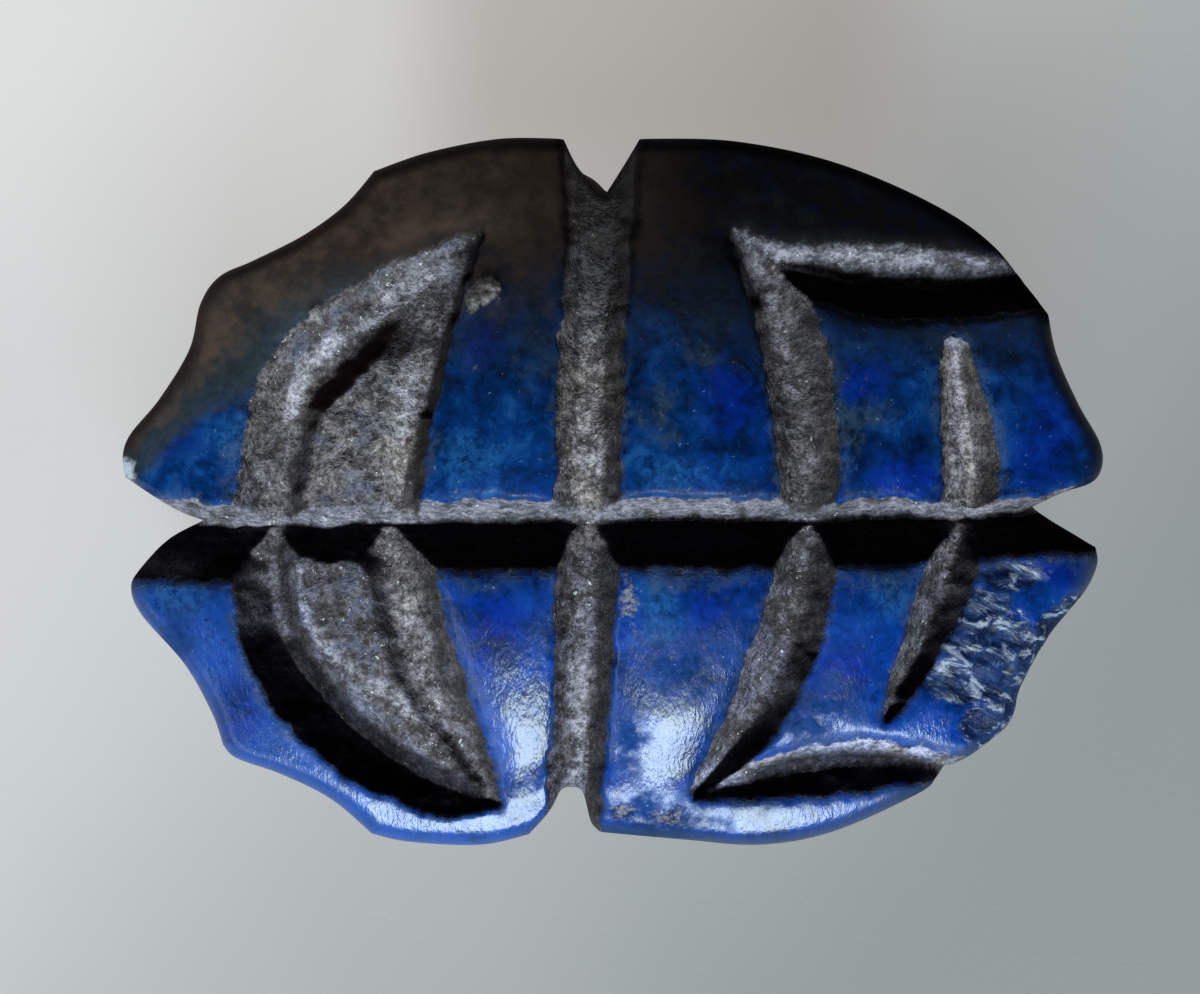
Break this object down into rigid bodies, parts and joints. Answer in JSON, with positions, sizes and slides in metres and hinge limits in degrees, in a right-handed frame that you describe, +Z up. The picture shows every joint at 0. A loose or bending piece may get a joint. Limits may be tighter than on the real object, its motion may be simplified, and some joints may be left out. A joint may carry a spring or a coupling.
{
  "type": "scarab amulet",
  "caption": "Small oval carved lapis stone with a low dome, scalloped edge, deep crossing grooves on its face and a flat underside.",
  "frame": {"origin": "middle of the bounding box at the flat underside", "axes": "+X along the length towards the end with the two side channels, +Y across the stone, +Z up out of the carved face"},
  "size_m": [0.0182, 0.013, 0.007],
  "materials": {
    "lapis": "worn polish with gritty grooves"
  },
  "bodies": {
    "root": {"scarab_stone": "lapis"}
  },
  "joints": []
}
